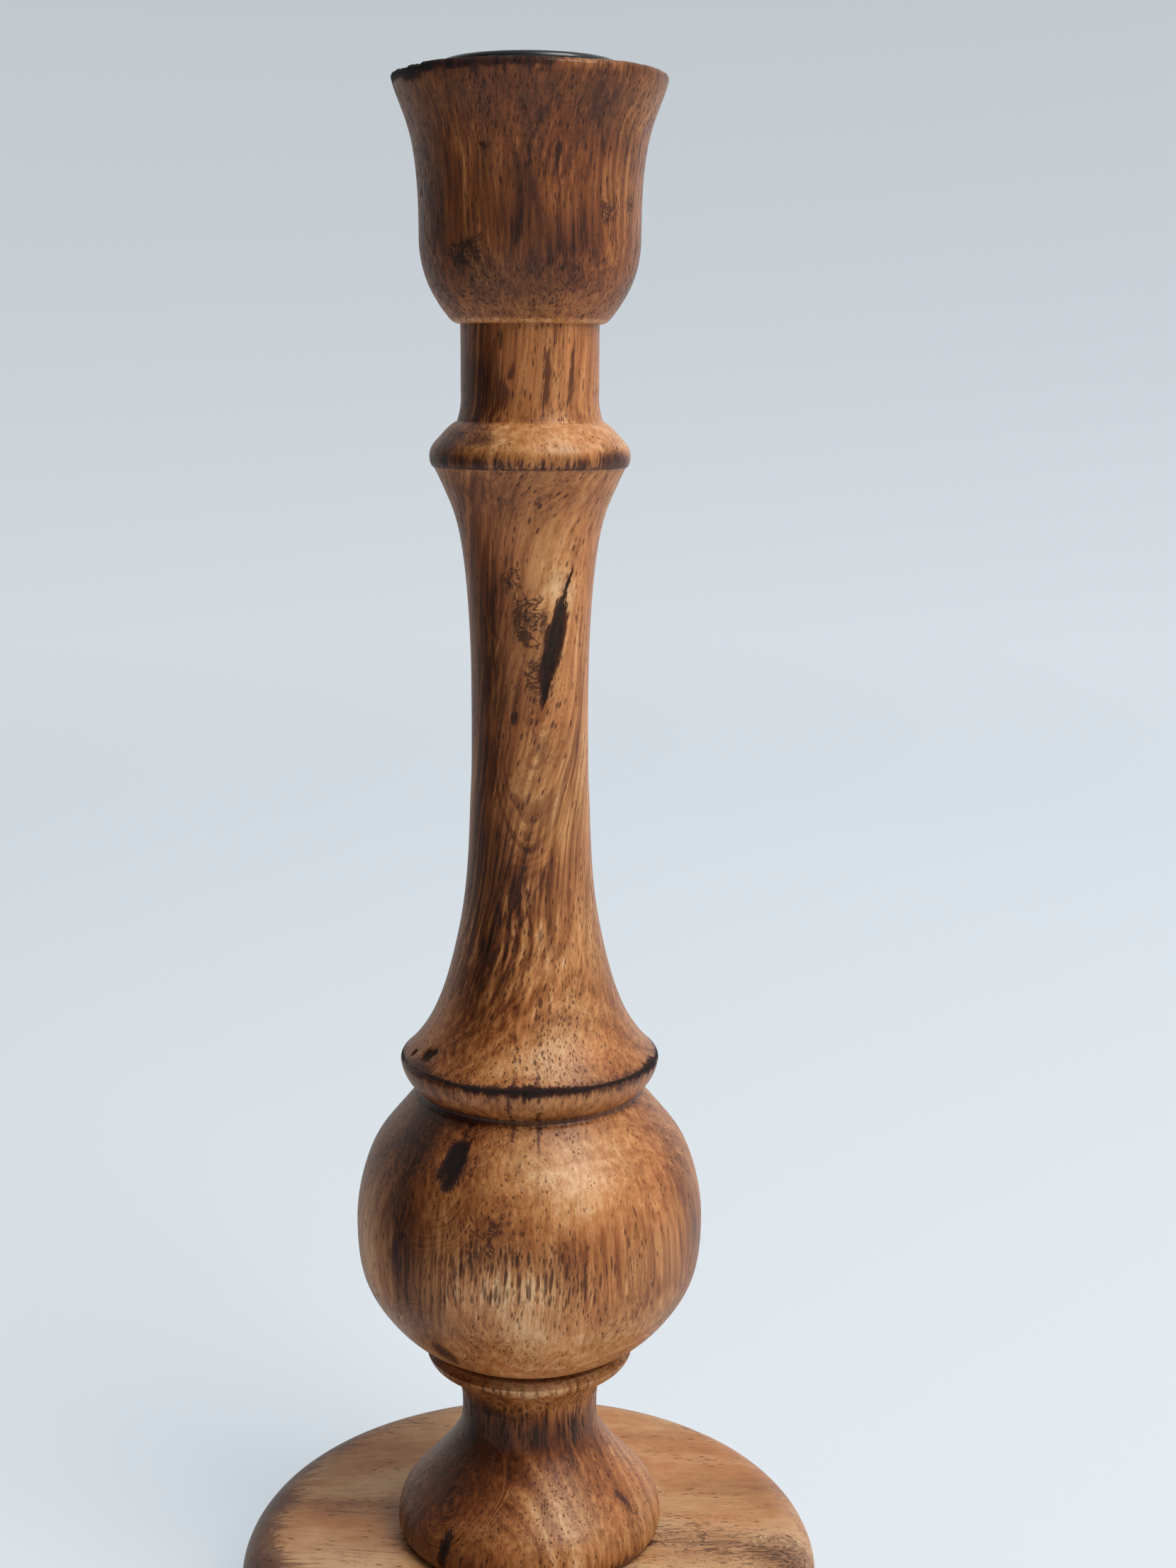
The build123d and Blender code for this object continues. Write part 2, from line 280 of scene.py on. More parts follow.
def keep(piece, name, values):
    """Stores one number or one vector per point, for the material to read."""
    values = np.asarray(values, np.float32)
    kind = "FLOAT" if values.ndim == 1 else "FLOAT_VECTOR"
    layer = piece.data.attributes.new(name, kind, "POINT")
    layer.data.foreach_set("value" if values.ndim == 1 else "vector", values.ravel())


# -------- marks in the wood
# A mark's turn is in degrees round the axis from the front (-Y) towards +X. Its height, width and length
# are in mm, and its lean is in degrees. In every list below, an entry is (amount, turn, height, width,
# length, lean), and a lean of 0 is left out.

def local(points, turn, height, lean=0.0):
    """Distances in mm across and along a mark's own axis. lean tips its top towards +X."""
    angle = np.arctan2(points[:, 0], -points[:, 1]) - math.radians(turn)
    angle = (angle + math.pi) % (2.0 * math.pi) - math.pi
    side = angle * np.hypot(points[:, 0], points[:, 1])
    rise = points[:, 2] - height
    c, s = math.cos(math.radians(lean)), math.sin(math.radians(lean))
    return side * c - rise * s, side * s + rise * c


def oval(points, turn, height, width, length, lean=0.0):
    """1 at the mark's middle, 0 at its edge, negative outside."""
    across, along = local(points, turn, height, lean)
    return 1.0 - np.hypot(across / width, along / length)


def lens(points, turn, height, width, length, lean=0.0):
    """The same, for a mark with pointed ends."""
    across, along = local(points, turn, height, lean)
    return 1.0 - (along / length) ** 2 - np.abs(across) / width


def blot(points, turn, height, width, length, lean=0.0):
    """A soft patch: 1 in the middle, fading to nothing about twice as far out as width and length."""
    across, along = local(points, turn, height, lean)
    return np.exp(-((across / width) ** 2 + (along / length) ** 2))


def summed(points, zones):
    """Soft patches added up."""
    return sum(amount * blot(points, *place) for amount, *place in zones)


def strongest(points, zones):
    """The strongest of some soft patches."""
    return np.max([amount * blot(points, *place) for amount, *place in zones], axis=0)


# -------- material nodes

class Nodes:
    """Short calls for building one node tree."""

    def __init__(self, tree):
        self.tree = tree
        tree.nodes.clear()

    def new(self, kind, **inputs):
        node = self.tree.nodes.new(kind)
        for name, value in inputs.items():
            self.put(node.inputs[name.replace("_", " ")], value)
        return node

    def put(self, socket, value):
        if isinstance(value, bpy.types.NodeSocket):
            self.tree.links.new(value, socket)
        else:
            socket.default_value = value

    def here(self):
        """The place on the object, in metres."""
        return self.new("ShaderNodeTexCoord").outputs["Object"]

    def math(self, operation, a, b=None, c=None, clamp=False):
        node = self.tree.nodes.new("ShaderNodeMath")
        node.operation = operation
        node.use_clamp = clamp
        for k, value in enumerate((a, b, c)):
            if value is not None:
                self.put(node.inputs[k], value)
        return node.outputs[0]

    def most(self, a, b):
        return self.math("MAXIMUM", a, b)

    def times(self, a, b):
        return self.math("MULTIPLY", a, b)

    def linear(self, value, factor, offset, clamp=False):
        return self.math("MULTIPLY_ADD", value, factor, offset, clamp)

    def vector(self, operation, a, b=None, scale=None):
        node = self.tree.nodes.new("ShaderNodeVectorMath")
        node.operation = operation
        self.put(node.inputs[0], a)
        if b is not None:
            self.put(node.inputs[1], b)
        if scale is not None:
            self.put(node.inputs["Scale"], scale)
        return node.outputs["Value" if operation == "DOT_PRODUCT" else "Vector"]

    def ranged(self, value, low, high, to_low=0.0, to_high=1.0, smooth_step=True):
        limits = {"From_Min": low, "From_Max": high, "To_Min": to_low, "To_Max": to_high}
        node = self.new("ShaderNodeMapRange", Value=value, **limits)
        node.interpolation_type = "SMOOTHSTEP" if smooth_step else "LINEAR"
        return node.outputs[0]

    def noise(self, place, scale, detail=2.0, roughness=0.5, distortion=0.0, dimensions="3D"):
        node = self.tree.nodes.new("ShaderNodeTexNoise")
        node.noise_dimensions = dimensions
        self.put(node.inputs["W" if dimensions == "1D" else "Vector"], place)
        settings = {"Scale": scale, "Detail": detail, "Roughness": roughness, "Distortion": distortion}
        for name, value in settings.items():
            self.put(node.inputs[name], value)
        return node.outputs[0]

    def cells(self, place):
        """The distance to the nearest of many scattered points, and a random value for that point."""
        node = self.new("ShaderNodeTexVoronoi", Vector=place, Scale=1.0)
        return node.outputs["Distance"], node.outputs["Color"]

    def attribute(self, name, output="Fac"):
        node = self.tree.nodes.new("ShaderNodeAttribute")
        node.attribute_name = name
        return node.outputs[output]

    def ramp(self, value, *stops):
        node = self.tree.nodes.new("ShaderNodeValToRGB")
        self.put(node.inputs[0], value)
        items = node.color_ramp.elements
        while len(items) < len(stops):
            items.new(0.5)
        for item, (place, colour) in zip(items, stops):
            item.position = place
            item.color = (*colour, 1.0)
        return node.outputs[0]

    def mix(self, amount, a, b, blend="MIX"):
        node = self.tree.nodes.new("ShaderNodeMix")
        node.data_type = "RGBA"
        node.blend_type = blend
        self.put(node.inputs["Factor"], amount)
        for socket, value in ((node.inputs[6], a), (node.inputs[7], b)):
            self.put(socket, (*value, 1.0) if isinstance(value, tuple) else value)
        return node.outputs[2]

    def darkened(self, amount, colour, tint):
        """The colour, multiplied by the tint where the amount is 1."""
        return self.mix(amount, colour, self.mix(1.0, colour, tint, "MULTIPLY"))

    def bump(self, height, strength, distance):
        return self.new("ShaderNodeBump", Height=height, Strength=strength, Distance=distance).outputs[0]

    def surface(self, **inputs):
        shader = self.new("ShaderNodeBsdfPrincipled", **inputs)
        self.new("ShaderNodeOutputMaterial", Surface=shader.outputs[0])


def material(name, kind=Nodes):
    made = bpy.data.materials.new(name)
    made.use_nodes = True
    return made, kind(made.node_tree)


# -------- wood
# Wood tones, linear RGB, from the darkest growth bands to the palest sapwood.
UMBER = (0.058, 0.015, 0.005)
CHESTNUT = (0.165, 0.050, 0.013)
TAN = (0.320, 0.125, 0.041)
HONEY = (0.505, 0.240, 0.096)
CREAM = (0.700, 0.445, 0.255)
WOOD_TONES = ((0.10, UMBER), (0.32, CHESTNUT), (0.52, TAN), (0.72, HONEY), (0.95, CREAM))
CHAR = (0.004, 0.0015, 0.002)
SCORCHED_BROWN = (0.048, 0.011, 0.005)

# What the wood's colour is multiplied by: in a thin line, a pore, and a stain and the painted shade
# kept with the stains, and in its redder and its greener parts.
LINE_TINT = (0.36, 0.24, 0.18)
PORE_TINT = (0.17, 0.11, 0.09)
STAIN_AND_SHADE_TINT = (0.17, 0.085, 0.060)
REDDER = (1.0, 0.875, 0.76)
GREENER = (0.96, 0.965, 0.91)
RELIEF = 0.00012  # depth of the pores' and fibres' relief, in metres


class Grain(Nodes):
    """The node tree of one wood. It reads the grain's own coordinates, in mm, from the mesh."""

    def __init__(self, tree):
        super().__init__(tree)
        self.flow = self.attribute("flow", "Vector")
        self.mottle = self.grain(0.075, 0.025, detail=3.0, roughness=0.55)
        self.blotch = self.grain(0.45, 0.20, detail=4.0, roughness=0.65, distortion=0.4)
        self.fibre = self.grain(2.1, 0.055, detail=3.0, roughness=0.65)

    def scaled(self, across, along):
        return self.vector("MULTIPLY", self.flow, (across, across, along))

    def grain(self, across, along, **settings):
        return self.noise(self.scaled(across, along), 1.0, **settings)

    def rings(self, scale, roughness):
        return self.noise(self.attribute("figure"), scale, roughness=roughness, dimensions="1D")


def paleness(n, bands, mottling, fibres):
    """How pale the plain wood is: growth bands, mottling, blotches, fibres and streaks added up."""
    def centred(value, amount):
        return n.linear(value, amount, -0.5 * amount)

    boost = n.linear(n.attribute("vein"), 1.8, 1.0)
    streaks = n.times(centred(n.grain(0.90, 0.022), 0.75 * fibres), boost)
    level = n.math("ADD", centred(n.rings(0.42, 0.5), bands), centred(n.mottle, mottling))
    level = n.math("ADD", level, centred(n.blotch, 0.45 * mottling))
    level = n.math("ADD", level, centred(n.fibre, 0.40 * fibres))
    level = n.math("ADD", level, streaks)
    return n.math("ADD", level, n.math("ADD", n.attribute("tone"), 0.50))


def dark_lines(n, lines):
    """Thin dark lines: along the fibres in some places, and along the growth rings near an eye."""
    patch = n.grain(0.16, 0.040)
    thin = n.times(n.ranged(n.fibre, 0.44, 0.30), n.ranged(patch, 0.40, 0.60, 0.25, 1.0))
    late = n.times(n.ranged(n.rings(0.85, 0.55), 0.52, 0.34), n.ranged(patch, 0.35, 0.60, 0.45, 1.0))
    late = n.times(late, n.linear(n.attribute("eyes"), 0.85, 0.10))
    bold = n.ranged(n.grain(1.1, 0.030, detail=3.0, roughness=0.6), 0.50, 0.36)
    return n.most(n.times(n.most(thin, late), lines), n.times(bold, n.attribute("vein")))


def pores_of(n):
    """Short dark pores, each a dash along the grain, thicker in some places, and the curls of burl."""
    grit = n.attribute("grit")
    crowd = n.linear(n.grain(0.12, 0.045, detail=3.0, roughness=0.6), 1.7, -0.52)
    crowd = n.linear(grit, 0.45, crowd)

    def dashes(across, along, core, rim, share, closed, wide):
        cell, pick = n.cells(n.scaled(across, along))
        chosen = n.ranged(n.math("SUBTRACT", share, pick), closed, wide)
        return n.times(n.ranged(cell, core, rim, 1.0, 0.0), chosen)

    pore = dashes(1.5, 0.36, 0.20, 0.40, crowd, -0.06, 0.10)
    gritty = dashes(1.05, 0.17, 0.26, 0.46, grit, -0.02, 0.12)
    fine_pore = dashes(2.9, 0.80, 0.24, 0.46, crowd, -0.10, 0.12)
    curl = n.noise(n.vector("SCALE", n.flow, scale=0.44), 1.0, roughness=0.6, distortion=1.3)
    worm = n.ranged(n.math("ABSOLUTE", n.math("SUBTRACT", curl, 0.5)), 0.020, 0.110, 1.0, 0.0)
    burl = n.ranged(n.linear(n.blotch, 1.6, n.attribute("burl")), 1.05, 1.35)
    return n.most(n.most(n.times(n.most(pore, gritty), 0.90), n.times(fine_pore, 0.50)), n.times(worm, burl))


def with_stain_and_shade(n, colour):
    """A stain, and the painted shade kept with the stains, grows along the fibres, so that its edge breaks up
    into streaks.
    """
    stain_and_shade = n.attribute("stain_and_shade")
    comb = n.linear(n.fibre, 0.7, n.times(n.blotch, 0.3))
    comb = n.ranged(comb, 0.36, 0.64, smooth_step=False)
    broken = n.ranged(n.linear(comb, -0.75, stain_and_shade), 0.0, 0.38)
    dark = n.linear(broken, 0.50, n.times(stain_and_shade, 0.42), clamp=True)
    return n.darkened(dark, colour, STAIN_AND_SHADE_TINT)


def wood(name, bands, mottling, fibres, lines):
    """Oiled hardwood with the marks that the mesh carries."""
    made, n = material(name, Grain)
    colour = n.ramp(paleness(n, bands, mottling, fibres), *WOOD_TONES)
    colour = n.darkened(dark_lines(n, lines), colour, LINE_TINT)
    pores = pores_of(n)
    colour = n.darkened(n.times(pores, 0.92), colour, PORE_TINT)
    colour = n.mix(1.0, colour, n.ramp(n.grain(0.060, 0.035), (0.36, REDDER), (0.62, GREENER)), "MULTIPLY")
    colour = with_stain_and_shade(n, colour)

    # a knot hole or a scorch is black in the middle, with a ragged brown edge
    knot = n.attribute("knot")
    ragged = n.grain(2.0, 0.22, detail=4.0, roughness=0.7)
    black = n.ranged(n.linear(n.math("SUBTRACT", ragged, 0.5), 1.8, knot), -0.06, 0.22)
    depth = n.math("SUBTRACT", ragged, n.times(knot, 0.45))
    colour = n.mix(n.times(black, 0.97), colour, n.ramp(depth, (0.16, CHAR), (0.52, SCORCHED_BROWN)))

    rough = n.linear(n.mottle, 0.12, 0.34)
    rough = n.linear(pores, 0.20, rough)
    rough = n.linear(black, 0.45, rough, clamp=True)
    height = n.linear(pores, -0.60, n.times(n.fibre, 0.35))
    height = n.linear(black, n.times(ragged, -1.4), height)
    n.surface(Base_Color=colour, Roughness=rough, Specular_IOR_Level=0.30, Normal=n.bump(height, 0.6, RELIEF))
    return made


def turn_of(points):
    """Degrees round the axis from the front."""
    return np.degrees(np.arctan2(points[:, 0], -points[:, 1]))


def radius_of(points):
    return np.hypot(points[:, 0], points[:, 1])


def grain_of(points, pith, seed, warp, winding=((0.0, 0.0), (1.0, 0.0)), right=0.0, along_x=False):
    """The grain's own coordinates and its growth rings.

    pith is a line beside the piece that the rings run round. winding says how many degrees
    the fibres have turned round the axis at some heights. right says how many degrees more they
    turn along the shaft on that side. along_x lays the fibres along X instead of upright."""
    p = points.copy()
    heights, turns = zip(*winding)
    angle = np.radians(np.interp(p[:, 2], heights, turns))
    angle += math.radians(right) * smooth(178.0, 216.0, p[:, 2]) * bell(turn_of(points), 55.0, 45.0)
    c, s = np.cos(angle), np.sin(angle)
    p[:, 0], p[:, 1] = p[:, 0] * c + p[:, 1] * s, p[:, 1] * c - p[:, 0] * s
    if along_x:
        p = p[:, [1, 2, 0]]
    slow = p * np.array([1.0, 1.0, 0.45]) / 26.0
    shift = np.stack([rough_noise(slow + 11.3 * k, seed + 10 * k) for k in range(3)], -1)
    quick = p * np.array([1.0, 1.0, 0.35]) / 7.0
    ripple = np.stack([noise(quick + 7.7 * k, seed + 40 + k) for k in range(3)], -1)
    flow = p + shift * np.array([warp, warp, 0.5 * warp]) + ripple * np.array([0.45, 0.45, 0.3])
    return flow, np.hypot(flow[:, 0] - pith[0], flow[:, 1] - pith[1])


def with_eyes(figure, points, places):
    """Bends the growth rings into nested ovals round some points. It also says how plain they are there."""
    nearest = np.zeros(len(points))
    for turn, height, width, length, lean, lines, strength in places:
        across, along = local(points, turn, height, lean)
        away = np.hypot(across / width, along / length) + 0.12 * noise(points / 6.0, 71)
        near = smooth(1.45, 0.95, away)
        figure = figure * (1.0 - near) + near * (lines * away + 40.0)
        plain = 0.25 + 0.75 * smooth(0.2, -0.5, along / length)
        nearest = np.maximum(nearest, near * strength * plain)
    return figure, nearest


def uneven(points, seed, size, amount):
    """Points shaken a little, so that a mark drawn on them has an irregular edge."""
    return points + amount * np.stack([noise(points / size, seed + k) for k in range(3)], -1)


def stained(points, marks, seed):
    """Dark patches with irregular edges."""
    shaken = uneven(uneven(points, seed, 4.0, 0.9), seed + 5, 1.3, 0.35)
    total = np.zeros(len(points))
    for amount, *place in marks:
        patch = amount * blot(shaken, *place)
        total = np.maximum(total, patch) + 0.35 * np.minimum(total, patch)
    return total


def toned(points, zones, seed, roughness=0.08, size=14.0):
    """Broad paler and darker zones on top of a slow unevenness."""
    return roughness * rough_noise(points / size, seed + 3) + summed(uneven(points, seed, 9.0, 2.0), zones)


def finish(piece, node, slot_name, made, flow, figure, tone, stain_and_shade, **marks):
    """Stores what the wood reads, gives the piece its finish and its body, and hides the CAD node that it
    stands in for.
    """
    count = len(figure)
    keep(piece, "flow", flow)
    keep(piece, "figure", figure)
    keep(piece, "tone", tone)
    keep(piece, "stain_and_shade", np.clip(stain_and_shade, 0.0, 1.1))
    keep(piece, "knot", np.maximum(marks.get("knot", np.full(count, -1.5)), -1.5))
    for name in ("grit", "eyes", "burl", "vein"):
        keep(piece, name, np.clip(marks.get(name, np.zeros(count)), -0.6, 1.0))
    piece.data.materials.append(made)
    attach(piece, "candlestick")
    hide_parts(node)


# -------- camera

LENS, SENSOR = 48.8246, 36.0  # millimetres, on the picture's long side
CAMERA_PLACE = (0.0, -0.43968, 0.27858)
PITCH, YAW, ROLL = (math.radians(a) for a in (11.1446, 1.5962, -0.3312))


def make_camera():
    data = bpy.data.cameras.new("camera")
    data.sensor_width = SENSOR
    data.lens = LENS
    data.clip_start, data.clip_end = 0.01, 20.0
    camera = linked(bpy.data.objects.new("camera", data))
    ahead = Vector((math.sin(YAW) * math.cos(PITCH), math.cos(YAW) * math.cos(PITCH), -math.sin(PITCH)))
    side = Vector((math.cos(YAW), -math.sin(YAW), 0.0))
    down = ahead.cross(side)
    right = math.cos(ROLL) * side + math.sin(ROLL) * down
    below = -math.sin(ROLL) * side + math.cos(ROLL) * down
    turn = Matrix((right, -below, -ahead)).transposed()
    camera.matrix_world = Matrix.Translation(CAMERA_PLACE) @ turn.to_4x4()
    bpy.context.scene.camera = camera


# -------- the turned wooden pieces

def inward(points, depth):
    """Moves points towards the axis by depth, in millimetres."""
    radius = radius_of(points)
    shrink = np.where(radius > 1e-3, 1.0 - np.minimum(depth, 0.9 * radius) / np.maximum(radius, 1e-3), 1.0)
    moved = points.copy()
    moved[:, 0] *= shrink
    moved[:, 1] *= shrink
    return moved


def hand_made(points, seed, amount):
    """The slight unevenness of turned and sanded wood."""
    return amount * (0.5 + 0.5 * rough_noise(points * np.array([1.0, 1.0, 0.7]) / 14.0, seed))


def ticks_round(points, seed, across=0.9, along=9.0):
    """Short dark and light strokes side by side round the piece, each across mm wide."""
    angle = np.radians(turn_of(points)) * radius_of(points).max() / across
    return noise(np.stack([angle, points[:, 2] / along, np.zeros(len(points))], -1), seed)


def unrolled(turn, scale):
    """The turn as points on a line, so that noise on them changes round the piece only."""
    return np.stack([np.radians(turn) * scale, np.zeros(len(turn)), np.zeros(len(turn))], -1)


BASE_TONES = (
    (-0.06, 100, 22, 30, 40), (0.04, 64, 22, 12, 40),
)
BASE_STAINS = (
    (0.4, 76, 22, 7, 30), (0.35, -100, 22, 5, 30), (0.3, -72, 22, 6, 30), (0.6, -66, 40, 12, 10),
    (0.5, 62, 40, 12, 10),
)
FOOT_RADIUS = 27.6  # where a painted contact shadow rings the foot on the base


def make_base():
    def shape(points):
        return inward(points, hand_made(points, 5, 0.16) * smooth(40.0, 60.0, radius_of(points)))

    piece, points = turned("base_disc", "base_turned", 0.7, 480, 26.0, shape)
    flow, figure = grain_of(points, (-20.0, -70.0), 3, 6.0, along_x=True)
    radius, left, height = radius_of(points), -points[:, 0], points[:, 2]
    edge = smooth(50.0, 62.0, radius)
    tone = toned(points, BASE_TONES, 8, 0.07, 22.0) + 0.285 + 0.03 * smooth(0.0, 60.0, left)
    patchy = 0.5 + 0.5 * rough_noise(points / np.array([9.0, 5.0, 5.0]), 9)
    stain_and_shade = (0.18 + 0.30 * patchy) * edge + 0.62 * edge * smooth(-10.0, 55.0, left) + 0.16 * patchy
    # painted contact shadow: a dark ring on the base's top round the foot's edge
    stain_and_shade += 0.60 * bell(radius, FOOT_RADIUS, 0.9) * (height > BASE_HIGH - 0.5)
    stain_and_shade += stained(points, BASE_STAINS, 10) * smooth(BASE_HIGH - 6.0, BASE_HIGH - 2.0, height)
    grit = -0.30 + 0.7 * blot(points, 76.0, BASE_HIGH, 12.0, 30.0)
    burl = 0.35 * blot(points, 76.0, BASE_HIGH, 10.0, 30.0)
    made = wood("base_wood_oiled", bands=0.14, mottling=0.70, fibres=0.20, lines=0.12)
    finish(piece, "base_disc", "base_wood", made, flow, figure, tone, stain_and_shade, grit=grit, burl=burl)


FOOT_EYES = ((-46, 36, 9, 9, 0, 9, 0.9), (-24, 59.5, 7, 4, 0, 6, 0.5))
FOOT_TONES = (
    (-0.2, -55, 40, 12, 14), (0.12, 20, 39, 9, 7), (-0.1, 44, 38, 8, 9), (0.08, 8, 31, 14, 7),
    (-0.14, 58, 32, 7, 9), (-0.08, 0, 26, 40, 2.5), (-0.2, 10, 53.5, 40, 5), (-0.14, -24, 52, 12, 6),
    (-0.1, 4, 47, 22, 4), (-0.14, 32, 47, 12, 5), (-0.08, 2, 38, 12, 8),
    # (0.56, -1, FOOT_TOP - 0.4, 18, 2) is painted light: it lifts the collar's top under the ball, which lies
    # in shade
    (0.56, -1, FOOT_TOP - 0.4, 18, 2), (0.22, 14, 56, 20, 4.5), (0.16, 60, 28, 8, 7),
)
FOOT_STAINS_AND_SHADE = (
    (1, -35, 55.4, 2.2, 1.4), (0.7, -20, 62.8, 3.2, 1.8), (0.65, 44, 51, 2, 4), (0.4, 10, 50, 5, 3),
    (0.55, 34, 45, 1.6, 4), (0.55, -58, 50, 8, 8), (0.4, -60, 34, 10, 9), (1, 56.6, 34.7, 1.3, 2.8),
    # (0.7, 40, 24, 12, 2) is a painted contact shadow along the foot's lower right edge
    (0.2, 62, 30, 4, 7), (0.7, 40, 24, 12, 2), (0.5, -12.3, 41, 1, 5), (0.4, -16, 31, 1.2, 6),
    (0.3, 8, 33, 0.9, 7), (0.25, 34, 36, 1.2, 7),
)


def make_foot():
    def shape(points):
        free = smooth(BASE_HIGH + 1.5, BASE_HIGH + 5.0, points[:, 2]) * smooth(12.5, 14.0, radius_of(points))
        return inward(points, hand_made(points, 15, 0.10) * free)

    piece, points = turned("foot", "foot_turned", 0.5, 320, 12.1, shape)
    flow, figure = grain_of(points, (-24.0, -44.0), 21, 4.0)
    figure, eyes = with_eyes(figure, points, FOOT_EYES)
    height, turn = points[:, 2], turn_of(points)
    tone = toned(points, FOOT_TONES, 24, 0.08, 11.0) + 0.16 * smooth(-28.0, 4.0, turn) - 0.08
    # painted contact shadow along the foot's lowest 1.9 mm, where it sits on the base, darker towards the
    # right
    contact_shadow = smooth(BASE_HIGH + 1.9, BASE_HIGH, height) * (radius_of(points) > 20.0)
    waist = bell(height, 52.0, 4.6) * smooth(-14.0, -4.0, turn) * smooth(70.0, 45.0, turn)
    collar = bell(height, FOOT_TOP - 1.6, 2.0)
    stain_and_shade = stained(points, FOOT_STAINS_AND_SHADE, 22) + (0.75 + 0.3 * smooth(0.0, 40.0, turn)) * contact_shadow
    stain_and_shade += 0.72 * smooth(0.0, 0.40, ticks_round(points, 27, 0.9, 7.0)) * waist
    stain_and_shade += 0.60 * smooth(0.0, 0.6, ticks_round(points, 25, 0.45)) * collar
    marks = {
        "knot": oval(points, -39.5, 28.5, 1.6, 5.0, 8.0),
        "eyes": eyes,
        "grit": 0.2 + 0.5 * smooth(48.0, 54.0, height) * smooth(62.0, 56.0, height),
        "vein": 0.25 * smooth(-30.0, -5.0, turn) * smooth(62.0, 40.0, turn),
    }
    made = wood("foot_wood_oiled", bands=0.50, mottling=0.42, fibres=0.50, lines=0.75)
    finish(piece, "foot", "foot_wood", made, flow, figure, tone, stain_and_shade, **marks)


# Holes and checks: (turn, height, width, length, lean).
CRACK = (22.5, 223, 2.4, 12.6, 12.8)
CRACK_TAIL = (35.6, 235, 0.42, 4.2, 14)
CRACK_FOOT = (15.2, 214, 1, 5, 10)
BALL_KNOT = (-31, 117.8, 3, 4.9, 12)
FLANGE_KNOTS = ((-60.6, 136.2, 1.9, 1.3), (-74, 135.3, 1, 0.8), (-57, 137.2, 1.2, 0.9))
LENS_KNOT = (-34.5, 75.6, 2.6, 4.2, -19)
STEM_WINDING = ((0, 0), (140, 0), (165, 14), (200, 40), (240, 62), (260, 80))
STEM_EYES = (
    (14, 213, 9.5, 31, 8, 8, 0.9),
    (-34, 115, 9, 11, 8, 9, 0.6),
    (-38, 79, 9, 7, -20, 8, 0.9),
)
STEM_TONES = (
    (0.34, 3, 138.5, 22, 6), (-0.16, 62, 148, 8, 12), (0.08, -62, 150, 6, 10), (0.12, 42, 226, 5, 10),
    (-0.14, 36, 138, 12, 6), (0.14, 34, 150, 12, 16), (0.11, 60, 190, 5, 44), (0.12, 24, 196, 4, 16, 10),
    (-0.26, -56, 205, 5.5, 44), (-0.22, -42, 156, 8, 18), (-0.04, -2, 206, 5, 12, 8),
    (-0.24, -30, 180, 6, 10), (0.2, -6, 181, 4, 7), (-0.16, -6, 232, 4, 9, 8), (-0.04, 14, 254, 30, 4),
    (-0.12, -26, 253, 10, 5), (0.05, -8, 255, 6, 5), (-0.06, 54, 254, 9, 5), (0.12, 9, 236, 7, 8),
    (0.09, 29, 236, 7, 8), (-0.09, -27, 236, 6, 8), (-0.07, -8, 210, 5, 8), (0.08, 30, 210, 6, 10),
    (-0.15, 9, 180.5, 5, 7), (0.08, -10, 180.5, 4, 7), (0.12, 27, 180.5, 5, 8), (-0.12, 54, 179.5, 6, 9),
    (-0.14, -35, 138.5, 8, 5), (-0.12, 34, 138.5, 8, 5), (0.18, -29, 129, 7, 3),
    # (0.22, 4, 117, 14, 6) and (0.16, 24, 112, 12, 8) are a painted highlight: the ball's upper right drawn
    # as paler wood
    (-0.08, -8, 130.4, 5, 2.5), (0.09, 9, 130, 9, 3), (-0.12, -12, 176, 6, 6, 20), (0.22, 4, 117, 14, 6),
    (0.16, 24, 112, 12, 8), (-0.26, -46, 104, 6, 18), (0.34, -64, 95, 11, 10), (-0.22, -62, 118, 11, 8),
    (-0.12, 66, 112, 9, 9), (-0.14, 66, 96, 9, 12), (-0.08, -28, 86, 8, 5), (-0.08, 45, 88, 12, 8),
    (-0.03, -34, 116, 9, 9), (0.36, -6, 93, 18, 6), (0.2, -4, 98, 14, 5), (0.3, -3, 84, 14, 5),
    (0.26, 0, 75, 20, 7), (0.1, 46, 92, 14, 16), (-0.14, 14, 101, 7, 6), (-0.05, 34, 190, 6, 40, 10),
    (-0.3, -34.5, 75.6, 2.4, 3.6, -19), (0.08, 52, 108, 9, 14),
)
